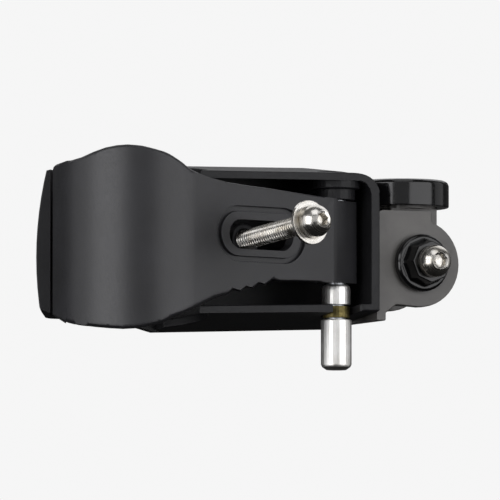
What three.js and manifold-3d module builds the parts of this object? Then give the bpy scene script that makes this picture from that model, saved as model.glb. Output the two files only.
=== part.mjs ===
// Umbrella swivel bracket: a hinged tube clamp with a swivelling, tilting socket for a rod.
// Millimetres, +Z up. The gripped tube stands on the origin, the socket lies towards +X
// and the clamp screw comes out of the front, which faces -Y.

import * as THREE from 'three';
import { mergeVertices } from 'three/addons/utils/BufferGeometryUtils.js';
import Module from 'manifold-3d';

const wasm = await Module();
wasm.setup();

// General sizes
const clearance = 0.3; // between pieces that rest or run on each other
const closeClearance = 0.2; // between the thin rings of the swivel
const overrun = 1; // how far a cut runs past the face that it opens
const weldDistance = 0.0001; // vertices closer than this are one vertex
const degree = Math.PI / 180;
const fineSteps = 40; // facets round a large turned piece
const smallSteps = 28; // facets round a screw, nut or washer
const arcDetail = 10; // half the facets of each arc in an outline

// What the clamp holds
const tube = { radius: 8 };
const rod = { radius: 4.1 };

// Screws of the bracket
const thread = { radius: 2 };
const screwHead = { radius: 3.3, height: 3.9, domeHeight: 2.5, domeSteps: 6, keyRadius: 1.45, keyDepth: 1.9 };

// Front jaw: a barrel round the tube, an arm and a knuckle on the hinge
const barrel = { x: -3, radius: 18, wall: 2.6, halfHeight: 18.6, wrapPastLeft: 32 * degree };
const hinge = { x: 39, forward: 4 };
const knuckle = { radius: 4.2, low: -7.5, high: 9.2, seatMargin: 0.5 };
const endFacet = { length: 4.1, turn: 14.4 * degree }; // the arm's face rolls back before the hinge
const trimAngle = 25 * degree; // the edges of the front jaw are cut along a line turned this far
const trimStations = 30;
const topEdgeShares = [
  [-0.05, 0.82], [0, 0.84], [0.083, 0.865], [0.174, 0.97], [0.265, 1], [0.357, 0.935], [0.393, 0.885],
  [0.43, 0.805], [0.466, 0.72], [0.557, 0.63], [0.721, 0.58], [0.83, 0.545], [0.922, 0.515], [1.06, 0.49],
];
const bottomEdgeShares = [
  [-0.05, 0.7], [0, 0.79], [0.044, 0.885], [0.083, 0.935], [0.174, 0.985], [0.265, 1], [0.357, 0.94],
  [0.393, 0.875], [0.43, 0.825], [0.466, 0.765], [0.557, 0.605], [0.721, 0.435], [0.83, 0.412],
  [0.922, 0.406], [1.06, 0.4],
];
const teeth = { count: 4, startShare: 0.56, pitch: 2.6, depth: 0.75 };
const slot = { along: 17, rise: 1.2, length: 16.6, height: 5.9 };
const groove = { rise: 1.3, length: 23, height: 11.3, width: 1.1, depth: 0.9 }; // round the slot

// Rear jaw: a hook behind the barrel, a back wall, and a channel with an end wall
const hook = {
  gap: 0.5, wall: 2.9, tipPastLeft: 27 * degree, turnPastLeft: 37 * degree, cornerRadius: 6.5,
  halfHeight: 15.1, cornerHeight: 3.2, bellyRise: -3, bellyRadius: 76, bellyStations: 12,
};
const channel = {
  left: 6, right: 46.6, forward: 9, endWall: 1.9, flange: 1.8, draftShare: 0.155,
  topLeft: 17, topRight: 17.8, bottomLeft: 17.4, bottomRight: 15.7, cornerRadius: 6,
  gripRadius: 10.8,
};
const backPanel = { left: 17, right: 42.5, halfHeight: 10.5, depth: 0.8, ribs: 3, rib: 1.6 };
const hingeBoss = { radius: 3.9, wall: 1, floor: 1.2 }; // wall and floor round the bolt's head

// Hinge pieces
const bush = { radius: 2.8, low: -14.6, high: -12.2 };
const spacer = { radius: 2.9, crownWidth: 0.5, crownHeight: 1.4, crownSteps: 4 };
const barrelNut = { radius: 3.15, end: -25.2, edge: 1.1, boreDepth: 7.5 };
const hingeHead = { radius: 3.6, height: 1.6, keyRadius: 1.3, keyDepth: 1.1 };

// Clamp screw: it leaves the middle of the slot square to the arm, a little upwards
const clampScrew = { along: 15.5, rise: 0.75, climb: 6.5 * degree, standOff: 17, pastBoss: 2 };
const washer = { radius: 4.5, thickness: 0.8 };
const insert = { radius: 2.95, groove: 0.25, grooveShares: [0.2, 0.35, 0.65, 0.8] };
const screwBoss = { radius: 4.4, height: 3.4 };
const screwTower = { radius: 3.4, gap: 0.8, root: 1 }; // from the back wall to just behind the arm

// Grip pads: two flat facets each, touching the tube
const pad = {
  facetAngle: 30 * degree, halfHeight: 12, leftShare: 0.422, rearRightShare: 0.584, frontRightShare: 0.76,
  valleyLeft: 1.5, shoulder: 0.9, grooveCount: 5, grooveWidth: 1.2, grooveDepth: 0.6,
};

// Swivel and tilt
const swivel = { rise: -3, forward: -1.5 };
const hub = { radius: 4.5, bore: 2.6, length: 4.3, grooveRadius: 3.9, grooveStart: 3.1, grooveWidth: 0.7 };
const yoke = {
  baseThickness: 2, earHalfGap: 6.1, earThickness: 2.3, reach: 9.7, bossRadius: 9,
  top: 10.7, topRight: 2.8, heel: -12, gussetX: -5.3, gussetZ: -8.6, cornerRadius: 1.6,
};
const wave = { radius: 5.8, thickness: 0.35, swing: 0.05, waves: 3 };
const ring = { outer: 5.7, thickness: 0.5, gapAngle: 50 * degree };
const block = { halfWidth: 5.3, halfDepth: 5.8, tongueRadius: 5.4, tongueHalf: 4.9, floor: 4 };
const spigot = { low: 11.4, high: 15.4, radius: 7, pocketRadius: 5.6, pocketFloor: 11.7 };
const collet = { outer: 5.3, low: 12, high: 16.6, coneStart: 15.4, coneDrop: 0.6, slits: 3, slitWidth: 0.9 };
const collar = { radius: 9.7, low: 11.9, high: 17.4, ceiling: 15.8, edge: 1, mouth: 4.6, throat: 5.4 };
const disc = { radius: 5.1, thickness: 0.6 };
const knob = {
  flangeRadius: 5.9, flangeThickness: 1.9, sides: 8, rootRadius: 5, endRadius: 4.3, length: 4.6, sunk: 1,
  edge: 0.5,
};
const tiltNut = { acrossFlats: 7, thickness: 3.2, screwPast: 1.2 };

// Solids and meshes

function toSolid(geometry) {
  const bare = geometry.clone();
  bare.deleteAttribute('normal');
  bare.deleteAttribute('uv');
  const merged = mergeVertices(bare, weldDistance);
  const corners = merged.index.array;
  const kept = [];
  for (let i = 0; i < corners.length; i += 3) {
    const [a, b, c] = [corners[i], corners[i + 1], corners[i + 2]];
    if (a !== b && b !== c && c !== a) kept.push(a, b, c);
  }
  return new wasm.Manifold(new wasm.Mesh({
    numProp: 3,
    vertProperties: new Float32Array(merged.attributes.position.array),
    triVerts: new Uint32Array(kept),
  }));
}

function toGeometry(solid) {
  const mesh = solid.getMesh();
  const geometry = new THREE.BufferGeometry();
  geometry.setAttribute('position', new THREE.BufferAttribute(new Float32Array(mesh.vertProperties), 3));
  geometry.setIndex(new THREE.BufferAttribute(new Uint32Array(mesh.triVerts), 1));
  geometry.computeVertexNormals();
  return geometry;
}

function joined(first, ...others) {
  return others.reduce((solid, other) => solid.add(other), first);
}

function cut(solid, ...tools) {
  return tools.reduce((rest, tool) => rest.subtract(tool), solid);
}

// A prism that stands on the XY plane, from low to high
function uprightGeometry(shape, low, high) {
  const options = { depth: high - low, bevelEnabled: false, curveSegments: arcDetail };
  return new THREE.ExtrudeGeometry(shape, options).translate(0, 0, low);
}

// A prism whose outline is drawn in XZ, from the front Y to the back Y
function crosswiseGeometry(shape, front, back) {
  const options = { depth: back - front, bevelEnabled: false, curveSegments: arcDetail };
  return new THREE.ExtrudeGeometry(shape, options).rotateX(Math.PI / 2).translate(0, back, 0);
}

const upright = (shape, low, high) => toSolid(uprightGeometry(shape, low, high));
const crosswise = (shape, front, back) => toSolid(crosswiseGeometry(shape, front, back));

// A solid turned about Z from a profile of [radius, height] pairs that ends on the axis or closes
function turned(profile, steps) {
  const points = profile.map(([radius, height]) => new THREE.Vector2(radius, height));
  return toSolid(new THREE.LatheGeometry(points, steps).rotateX(Math.PI / 2));
}

function bar(radius, low, high, steps = smallSteps) {
  return turned([[0, low], [radius, low], [radius, high], [0, high]], steps);
}

function pipe(inner, outer, low, high, steps = smallSteps) {
  return turned([[inner, low], [outer, low], [outer, high], [inner, high], [inner, low]], steps);
}

function outline(points) {
  return new THREE.Shape(points.map(([x, y]) => new THREE.Vector2(x, y)));
}

function rectangle(left, low, right, high) {
  return outline([[left, low], [right, low], [right, high], [left, high]]);
}

function roundEnded(length, height) {
  const shape = new THREE.Shape();
  const half = (length - height) / 2;
  shape.absarc(half, 0, height / 2, -Math.PI / 2, Math.PI / 2, false);
  shape.absarc(-half, 0, height / 2, Math.PI / 2, 1.5 * Math.PI, false);
  return shape;
}

function polygonShape(sides, radius) {
  const points = [];
  for (let i = 0; i < sides; i += 1) {
    const angle = ((i + 0.5) / sides) * 2 * Math.PI;
    points.push([radius * Math.cos(angle), radius * Math.sin(angle)]);
  }
  return outline(points);
}

// A frame whose Z runs along a direction, with its X as level as it can be
function frameAlong(origin, direction) {
  const z = direction.clone().normalize();
  const x = new THREE.Vector3(-z.y, z.x, 0).normalize();
  const y = z.clone().cross(x);
  return new THREE.Matrix4().makeBasis(x, y, z).setPosition(origin);
}

const moved = (solid, matrix) => toSolid(toGeometry(solid).applyMatrix4(matrix));
const shifted = (solid, x, y, z) => moved(solid, new THREE.Matrix4().makeTranslation(x, y, z));

function material(colour, roughness, metalness) {
  return new THREE.MeshStandardMaterial({ color: colour, roughness, metalness });
}

const blackPlastic = material(0x2b2a29, 0.55, 0);
const greyPlastic = material(0x57544f, 0.5, 0);
const glossBlack = material(0x17171a, 0.2, 0);
const blackRubber = material(0x1c1c1c, 0.9, 0);
const brightSteel = material(0xcfccc5, 0.25, 1);
const whiteNickel = material(0xdedcd6, 0.2, 1);
const brass = material(0x8f8050, 0.4, 1);
const springSteel = material(0x8d8f92, 0.35, 1);
const fibre = material(0x4a3b2c, 0.85, 0);

function piece(name, solid, finish) {
  const mesh = new THREE.Mesh(toGeometry(solid), finish);
  mesh.name = name;
  return mesh;
}

// Places that several pieces share

const barrelCentre = new THREE.Vector2(barrel.x, 0);
const hingeCentre = new THREE.Vector2(hinge.x, -hinge.forward);
const innerBarrel = barrel.radius - barrel.wall;
const padLeft = barrel.x - pad.leftShare * innerBarrel;
const rearPadRight = barrel.x + pad.rearRightShare * innerBarrel;
const frontPadRight = barrel.x + pad.frontRightShare * innerBarrel;

// Direction, from both centres, of the line that touches barrel and knuckle in front
const betweenCentres = hingeCentre.clone().sub(barrelCentre);
const faceAngle = betweenCentres.angle() - 2 * Math.PI
  - Math.acos((barrel.radius - knuckle.radius) / betweenCentres.length());
const faceNormal = new THREE.Vector3(Math.cos(faceAngle), Math.sin(faceAngle), 0);
const faceAlong = new THREE.Vector3(-Math.sin(faceAngle), Math.cos(faceAngle), 0);
const faceStart = new THREE.Vector3(barrel.x, 0, 0).addScaledVector(faceNormal, barrel.radius);
const faceLength = Math.sqrt(betweenCentres.lengthSq() - (barrel.radius - knuckle.radius) ** 2);

// X along the flat face of the arm from the barrel, Y upwards, Z outwards
const faceFrame = new THREE.Matrix4()
  .makeBasis(faceAlong, new THREE.Vector3(0, 0, 1), faceNormal)
  .setPosition(faceStart);

const screwOrigin = new THREE.Vector3(clampScrew.along, clampScrew.rise, 0).applyMatrix4(faceFrame);
const screwDirection = faceNormal.clone().multiplyScalar(Math.cos(clampScrew.climb));
screwDirection.z = Math.sin(clampScrew.climb);
const screwFrame = frameAlong(screwOrigin, screwDirection);

// The hook is drawn about the barrel's centre and runs into the flat back wall
const hookInner = barrel.radius + hook.gap;
const hookOuter = hookInner + hook.wall;
const hookTurn = Math.PI - hook.turnPastLeft;
const hookCorner = new THREE.Vector2(Math.cos(hookTurn), Math.sin(hookTurn))
  .multiplyScalar(hookOuter - hook.cornerRadius)
  .add(barrelCentre);
const backOuter = hookCorner.y + hook.cornerRadius;
const backInner = backOuter - hook.wall;

const tiltX = channel.right + clearance + yoke.reach;
const swivelY = -swivel.forward;
const earOuter = yoke.earHalfGap + yoke.earThickness;

// Distance along the clamp screw, from the arm's face, to a plane of equal Y
const alongScrewTo = (y) => (y - screwOrigin.y) / screwDirection.y;
const rearBossEnd = alongScrewTo(backOuter) - screwBoss.height;
const insertFront = alongScrewTo(backInner) - screwTower.root;

// Depth of the channel's outline at a Y, which narrows towards the front
const draftAt = (y) => 1 - (channel.draftShare * (backOuter - y)) / (backOuter + channel.forward);

// Front jaw

function edgePoints(shares, sign) {
  const left = barrel.x * Math.cos(trimAngle) - barrel.radius;
  const right = hinge.x * Math.cos(trimAngle) + hinge.forward * Math.sin(trimAngle) + knuckle.radius;
  const marks = shares.map(([along, height]) => new THREE.Vector2(
    left + along * (right - left),
    sign * height * barrel.halfHeight,
  ));
  return new THREE.SplineCurve(marks).getPoints(trimStations).map((point) => [point.x, point.y]);
}

// Small saw teeth along the lower edge of the arm
function withTeeth(points) {
  const start = points[0][0] + teeth.startShare * (points.at(-1)[0] - points[0][0]);
  const end = start + teeth.count * teeth.pitch;
  const before = points.filter(([x]) => x < start);
  const after = points.filter(([x]) => x > end);
  const from = before.at(-1);
  const to = after[0];
  const saw = [];
  for (let i = 0; i < teeth.count; i += 1) {
    const x = start + i * teeth.pitch;
    const next = x + teeth.pitch / 2;
    const heightAt = (place) => from[1] + ((to[1] - from[1]) * (place - from[0])) / (to[0] - from[0]);
    saw.push([x, heightAt(x)], [next, heightAt(next) + teeth.depth]);
  }
  return [...before, ...saw, ...after];
}

function frontJawPlan() {
  const tip = Math.PI - barrel.wrapPastLeft;
  const fullTurn = 2 * Math.PI;
  const joint = faceAngle + fullTurn - Math.acos((knuckle.radius - barrel.wall) / knuckle.radius);
  const shape = new THREE.Shape();
  shape.absarc(barrel.x, 0, barrel.radius, tip, faceAngle + fullTurn, false);
  shape.absarc(hingeCentre.x, hingeCentre.y, knuckle.radius, faceAngle, joint, false);
  shape.absarc(barrel.x, 0, innerBarrel, faceAngle + fullTurn, tip, true);
  return shape;
}

// What is cut away where the arm's face rolls back before the hinge
function endFacetCut() {
  const start = faceStart.clone().addScaledVector(faceAlong, faceLength - endFacet.length);
  const back = faceAlong.clone().applyAxisAngle(new THREE.Vector3(0, 0, 1), endFacet.turn);
  const end = start.clone().addScaledVector(back, endFacet.length + 2 * knuckle.radius);
  const out = faceNormal.clone().multiplyScalar(2 * knuckle.radius);
  const corners = [start, end, end.clone().add(out), start.clone().add(out)];
  const shape = outline(corners.map((corner) => [corner.x, corner.y]));
  return upright(shape, -barrel.halfHeight - overrun, barrel.halfHeight + overrun);
}

function frontJaw() {
  const top = edgePoints(topEdgeShares, 1);
  const bottom = withTeeth(edgePoints(bottomEdgeShares, -1));
  const reach = barrel.radius + hinge.x;
  const trim = toSolid(
    crosswiseGeometry(outline([...bottom, ...top.reverse()]), -reach, reach).rotateZ(-trimAngle),
  );
  const body = upright(frontJawPlan(), -barrel.halfHeight - overrun, barrel.halfHeight + overrun)
    .intersect(trim);
  const slotShape = roundEnded(slot.length, slot.height);
  const grooveCut = shifted(cut(
    upright(roundEnded(groove.length, groove.height), -groove.depth, overrun),
    upright(
      roundEnded(groove.length - 2 * groove.width, groove.height - 2 * groove.width),
      -groove.depth - overrun, 2 * overrun,
    ),
  ), slot.along, groove.rise, 0);
  const slotCut = shifted(
    upright(slotShape, -barrel.wall - overrun, overrun), slot.along, slot.rise, 0,
  );
  const seat = knuckle.radius + knuckle.seatMargin;
  const knuckleCuts = [
    bar(thread.radius + clearance, -barrel.halfHeight, barrel.halfHeight),
    bar(seat, knuckle.high, barrel.halfHeight),
    bar(seat, -barrel.halfHeight, knuckle.low),
  ].map((tool) => shifted(tool, hingeCentre.x, hingeCentre.y, 0));
  return cut(body, endFacetCut(), moved(grooveCut, faceFrame), moved(slotCut, faceFrame), ...knuckleCuts);
}

// Rear jaw

function hookPlan() {
  const tip = Math.PI - hook.tipPastLeft;
  const shape = new THREE.Shape();
  shape.absarc(barrel.x, 0, hookOuter, tip, hookTurn, true);
  shape.absarc(hookCorner.x, hookCorner.y, hook.cornerRadius, hookTurn, Math.PI / 2, true);
  shape.lineTo(channel.right, backOuter);
  shape.lineTo(channel.right, backInner);
  shape.absarc(hookCorner.x, hookCorner.y, hook.cornerRadius - hook.wall, Math.PI / 2, hookTurn, false);
  shape.absarc(barrel.x, 0, hookInner, hookTurn, tip, false);
  return shape;
}

// The hook's outline from behind: low at its tip and as tall as the channel at its root
function hookProfile() {
  const left = barrel.x - hookOuter - overrun;
  const tipX = barrel.x - hookInner;
  const shape = new THREE.Shape();
  shape.moveTo(left, -hook.halfHeight + hook.cornerHeight);
  shape.lineTo(tipX - hook.wall, -hook.halfHeight + hook.cornerHeight);
  shape.lineTo(tipX + hook.cornerHeight, -hook.halfHeight);
  shape.lineTo(barrel.x, -hook.halfHeight);
  shape.lineTo(channel.left, -channel.bottomLeft);
  shape.lineTo(channel.left + overrun, -channel.bottomLeft + channel.flange);
  shape.lineTo(channel.left + overrun, channel.topLeft - channel.flange);
  shape.lineTo(channel.left, channel.topLeft);
  shape.lineTo(barrel.x, hook.halfHeight);
  shape.lineTo(tipX + hook.cornerHeight, hook.halfHeight);
  shape.lineTo(left, hook.halfHeight - hook.cornerHeight / 2);
  return shape;
}

// The hook bulges a little at mid-height
function hookBelly() {
  const profile = [[0, -barrel.halfHeight]];
  for (let i = 0; i <= hook.bellyStations; i += 1) {
    const z = barrel.halfHeight * ((2 * i) / hook.bellyStations - 1);
    const fall = (z - hook.bellyRise) ** 2 / (2 * hook.bellyRadius);
    profile.push([hookOuter - fall, z]);
  }
  profile.push([0, barrel.halfHeight]);
  return shifted(turned(profile, 2 * fineSteps), barrel.x, 0, 0);
}

function channelProfile(inset, left, right) {
  const radius = channel.cornerRadius - inset;
  const rise = channel.topRight - channel.topLeft;
  const topAt = (x) => channel.topLeft - inset + (rise * (x - channel.left)) / (channel.right - channel.left);
  const shape = new THREE.Shape();
  shape.moveTo(left, -channel.bottomLeft + inset);
  shape.lineTo(right, -channel.bottomRight + inset);
  shape.lineTo(right, topAt(right) - radius);
  shape.quadraticCurveTo(right, topAt(right), right - radius, topAt(right - radius));
  shape.lineTo(left, topAt(left));
  return shape;
}

// Narrows a prism towards the front, as a moulded channel is
function drafted(geometry) {
  const place = geometry.attributes.position;
  for (let i = 0; i < place.count; i += 1) {
    place.setZ(i, place.getZ(i) * draftAt(place.getY(i)));
  }
  return geometry;
}

function channelPlan() {
  const corner = Math.acos(channel.left / channel.gripRadius);
  const shape = new THREE.Shape();
  shape.moveTo(channel.right, -channel.forward);
  shape.lineTo(channel.right, backOuter);
  shape.lineTo(channel.left, backOuter);
  shape.absarc(0, 0, channel.gripRadius, corner, -corner, true);
  return shape;
}

function rearChannel() {
  const outer = drafted(crosswiseGeometry(
    channelProfile(0, channel.left, channel.right), -channel.forward, backOuter,
  ));
  const inner = drafted(crosswiseGeometry(
    channelProfile(channel.flange, channel.left - overrun, channel.right - channel.endWall),
    -channel.forward - overrun,
    backInner,
  ));
  const plan = upright(channelPlan(), -barrel.halfHeight, barrel.halfHeight);
  return toSolid(outer).intersect(plan).subtract(toSolid(inner));
}

function panelCuts() {
  const pitch = (2 * backPanel.halfHeight + backPanel.rib) / backPanel.ribs;
  const cuts = [];
  for (let i = 0; i < backPanel.ribs; i += 1) {
    const low = -backPanel.halfHeight + i * pitch;
    const shape = rectangle(backPanel.left, low, backPanel.right, low + pitch - backPanel.rib);
    cuts.push(crosswise(shape, backOuter - backPanel.depth, backOuter + overrun));
  }
  return cuts;
}

function rearJaw() {
  const hookBody = upright(hookPlan(), -barrel.halfHeight, barrel.halfHeight)
    .intersect(crosswise(hookProfile(), 0, backOuter + overrun));
  const crowned = hookBody.intersect(joined(
    hookBelly(),
    crosswise(rectangle(barrel.x - hookOuter / 2, -barrel.halfHeight, channel.right, barrel.halfHeight), 0,
      backOuter + overrun),
  ));
  const bossTop = (channel.topLeft + channel.topRight) / 2 * draftAt(hingeCentre.y) - channel.flange / 2;
  const bossFrom = (radius, low) => shifted(bar(radius, low, bossTop), hingeCentre.x, hingeCentre.y, 0);
  const upperBoss = bossFrom(hingeBoss.radius, knuckle.high + clearance);
  const headPocket = bossFrom(
    hingeHead.radius + clearance + hingeBoss.wall, boltHeadLow() - clearance - hingeBoss.floor,
  );
  const bossStart = alongScrewTo(backInner + hook.wall / 2);
  const rearBoss = moved(bar(screwBoss.radius, rearBossEnd, bossStart), screwFrame);
  const towerEnd = -barrel.wall - screwTower.gap;
  const tower = moved(bar(screwTower.radius, insertFront, towerEnd), screwFrame);
  const towerBore = moved(
    bar(thread.radius + clearance, insertFront - overrun, towerEnd + overrun), screwFrame,
  );
  const insertHole = moved(
    bar(insert.radius + clearance, rearBossEnd - overrun, insertFront), screwFrame,
  );
  const hubFrame = frameAlong(
    new THREE.Vector3(channel.right, swivelY, swivel.rise), new THREE.Vector3(1, 0, 0),
  );
  const swivelHub = moved(bar(hub.radius, -channel.endWall / 2, hub.length), hubFrame);
  const hubGroove = moved(
    pipe(hub.grooveRadius, hub.radius + overrun, hub.grooveStart, hub.grooveStart + hub.grooveWidth),
    hubFrame,
  );
  const hubBore = moved(bar(hub.bore, -channel.endWall - overrun, hub.length + overrun), hubFrame);
  const boltHole = shifted(
    bar(thread.radius + clearance, 0, barrel.halfHeight), hingeCentre.x, hingeCentre.y, 0,
  );
  const headSeat = shifted(
    bar(hingeHead.radius + clearance, boltHeadLow() - clearance, barrel.halfHeight),
    hingeCentre.x, hingeCentre.y, 0,
  );
  const notch = bush.radius + clearance;
  const bushHole = shifted(bar(notch, -barrel.halfHeight, 0), hingeCentre.x, hingeCentre.y, 0);
  const bushNotch = upright(
    rectangle(hingeCentre.x - notch, -channel.forward - overrun, hingeCentre.x + notch, hingeCentre.y),
    -barrel.halfHeight, 0,
  );
  return cut(
    joined(rearChannel(), crowned, upperBoss, headPocket, rearBoss, tower, swivelHub),
    insertHole, towerBore, hubGroove, hubBore, boltHole, headSeat, bushHole, bushNotch, ...panelCuts(),
  );
}

// Pads: rubber blocks whose two facets lean on the tube

function padShape(side, right, back) {
  const valley = tube.radius / Math.cos(pad.facetAngle) + clearance;
  const facetAt = (x) => valley - Math.abs(x) * Math.tan(pad.facetAngle);
  const shape = new THREE.Shape();
  shape.moveTo(0, side * valley);
  shape.lineTo(padLeft + pad.valleyLeft, side * facetAt(padLeft + pad.valleyLeft));
  shape.lineTo(padLeft, side * (facetAt(padLeft + pad.valleyLeft) + pad.shoulder));
  back(shape);
  shape.lineTo(right, side * (facetAt(right - pad.shoulder) + pad.shoulder));
  shape.lineTo(right - pad.shoulder, side * facetAt(right - pad.shoulder));
  return shape;
}

// Level grooves across the facets
function padGrooves(side) {
  const pitch = (2 * pad.halfHeight) / (pad.grooveCount + 1);
  const valley = tube.radius / Math.cos(pad.facetAngle) + clearance + pad.grooveDepth;
  const fall = (x) => valley - Math.abs(x) * Math.tan(pad.facetAngle);
  const wide = 2 * tube.radius;
  const tools = [];
  for (let i = 1; i <= pad.grooveCount; i += 1) {
    const middle = -pad.halfHeight + i * pitch;
    const wedge = outline([[-wide, side * fall(wide)], [wide, side * fall(wide)], [0, side * valley]]);
    tools.push(upright(wedge, middle - pad.grooveWidth / 2, middle + pad.grooveWidth / 2));
  }
  return tools;
}

function frontPad() {
  const radius = innerBarrel - clearance;
  const angleAt = (x) => -Math.acos((x - barrel.x) / radius);
  const shape = padShape(-1, frontPadRight, (line) => {
    line.absarc(barrel.x, 0, radius, angleAt(padLeft), angleAt(frontPadRight), false);
  });
  return cut(upright(shape, -pad.halfHeight, pad.halfHeight), ...padGrooves(-1));
}

function rearPad() {
  const shape = padShape(1, rearPadRight, (line) => {
    line.lineTo(padLeft, backInner - clearance);
    line.lineTo(rearPadRight, backInner - clearance);
  });
  return cut(upright(shape, -pad.halfHeight, pad.halfHeight), ...padGrooves(1));
}

// Screws, nuts and rings, each turned about its own Z

// A screw with its head above the origin and its shank below
function domedScrew(shank) {
  const profile = [[0, -shank], [thread.radius, -shank], [thread.radius, 0], [screwHead.radius, 0]];
  for (let i = 0; i <= screwHead.domeSteps; i += 1) {
    const turn = (i / screwHead.domeSteps) * (Math.PI / 2);
    const side = screwHead.height - screwHead.domeHeight;
    profile.push([screwHead.radius * Math.cos(turn), side + screwHead.domeHeight * Math.sin(turn)]);
  }
  const key = upright(
    polygonShape(6, screwHead.keyRadius), screwHead.height - screwHead.keyDepth, screwHead.height + overrun,
  );
  return turned(profile, smallSteps).subtract(key);
}

function boltHeadLow() {
  const flangeTop = channel.topLeft * draftAt(hingeCentre.y);
  return flangeTop - hingeHead.height;
}

function hingeBolt() {
  const low = boltHeadLow();
  const end = bush.low - clearance - barrelNut.boreDepth + clearance;
  const body = turned([
    [0, end], [thread.radius, end], [thread.radius, low], [hingeHead.radius, low],
    [hingeHead.radius, low + hingeHead.height], [0, low + hingeHead.height],
  ], smallSteps);
  const key = upright(
    polygonShape(6, hingeHead.keyRadius), low + hingeHead.height - hingeHead.keyDepth,
    low + hingeHead.height + overrun,
  );
  return body.subtract(key);
}

function hingeBarrelNut() {
  const top = bush.low - clearance;
  const bore = thread.radius + clearance;
  const floor = top - barrelNut.boreDepth;
  return turned([
    [0, barrelNut.end],
    [barrelNut.radius - barrelNut.edge, barrelNut.end],
    [barrelNut.radius - barrelNut.edge * Math.sin(Math.PI / 12), barrelNut.end + barrelNut.edge / 2],
    [barrelNut.radius, barrelNut.end + barrelNut.edge],
    [barrelNut.radius, top], [bore, top], [bore, floor], [0, floor],
  ], smallSteps);
}

// The sleeve between knuckle and bush, with a rounded upper rim
function hingeSpacer() {
  const bore = thread.radius + clearance;
  const [low, high] = [bush.high + clearance, knuckle.low - clearance];
  const profile = [[bore, low], [spacer.radius, low]];
  for (let i = 0; i <= spacer.crownSteps; i += 1) {
    const turn = (i / spacer.crownSteps) * (Math.PI / 2);
    profile.push([
      spacer.radius - spacer.crownWidth * (1 - Math.cos(turn)),
      high - spacer.crownHeight * (1 - Math.sin(turn)),
    ]);
  }
  profile.push([bore, high], [bore, low]);
  return turned(profile, smallSteps);
}

function threadedInsert(length) {
  const bore = thread.radius + clearance;
  const profile = [[bore, 0], [insert.radius, 0]];
  for (let i = 0; i < insert.grooveShares.length; i += 2) {
    const [from, to] = [insert.grooveShares[i] * length, insert.grooveShares[i + 1] * length];
    const waist = insert.radius - insert.groove;
    profile.push([insert.radius, from], [waist, from], [waist, to], [insert.radius, to]);
  }
  profile.push([insert.radius, length], [bore, length], [bore, 0]);
  return turned(profile, smallSteps);
}

// Swivel: the frame of its pieces has Z along the swivel's axis, from the end wall outwards

function waveWasher() {
  const inner = hub.radius + clearance;
  const geometry = new THREE.LatheGeometry([
    new THREE.Vector2(inner, 0), new THREE.Vector2(wave.radius, 0),
    new THREE.Vector2(wave.radius, wave.thickness), new THREE.Vector2(inner, wave.thickness),
    new THREE.Vector2(inner, 0),
  ], fineSteps).rotateX(Math.PI / 2);
  const place = geometry.attributes.position;
  for (let i = 0; i < place.count; i += 1) {
    const turn = Math.atan2(place.getY(i), place.getX(i));
    place.setZ(i, place.getZ(i) + wave.swing * Math.sin(wave.waves * turn));
  }
  return toSolid(geometry);
}

function retainingRing() {
  const shape = new THREE.Shape();
  const half = ring.gapAngle / 2;
  const inner = hub.grooveRadius + closeClearance;
  shape.absarc(0, 0, ring.outer, half, 2 * Math.PI - half, false);
  shape.absarc(0, 0, inner, 2 * Math.PI - half, half, true);
  return upright(shape, 0, ring.thickness);
}

// Head: drawn about the tilt axis, with X and Z as in the whole part

function earShape() {
  const shape = new THREE.Shape();
  const boss = yoke.bossRadius;
  shape.moveTo(-yoke.reach, yoke.heel);
  shape.lineTo(yoke.gussetX, yoke.gussetZ);
  shape.absarc(0, 0, boss, -Math.PI / 2, Math.acos(yoke.topRight / boss), false);
  shape.lineTo(yoke.topRight, yoke.top);
  shape.lineTo(-yoke.reach + yoke.cornerRadius, yoke.top);
  shape.absarc(-yoke.reach + yoke.cornerRadius, yoke.top - yoke.cornerRadius, yoke.cornerRadius,
    Math.PI / 2, Math.PI, false);
  return shape;
}

function swivelYoke() {
  const base = crosswise(
    rectangle(-yoke.reach, yoke.heel, -yoke.reach + yoke.baseThickness, yoke.top - yoke.cornerRadius),
    -earOuter, earOuter,
  );
  const frontEar = crosswise(earShape(), -earOuter, -yoke.earHalfGap);
  const rearEar = crosswise(earShape(), yoke.earHalfGap, earOuter);
  const hubHole = moved(
    bar(hub.radius + clearance, -overrun, yoke.baseThickness + overrun),
    frameAlong(new THREE.Vector3(-yoke.reach, 0, 0), new THREE.Vector3(1, 0, 0)),
  );
  const axle = moved(
    bar(thread.radius + clearance, -earOuter - overrun, earOuter + overrun),
    frameAlong(new THREE.Vector3(), new THREE.Vector3(0, 1, 0)),
  );
  return cut(joined(base, frontEar, rearEar), hubHole, axle);
}

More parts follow.
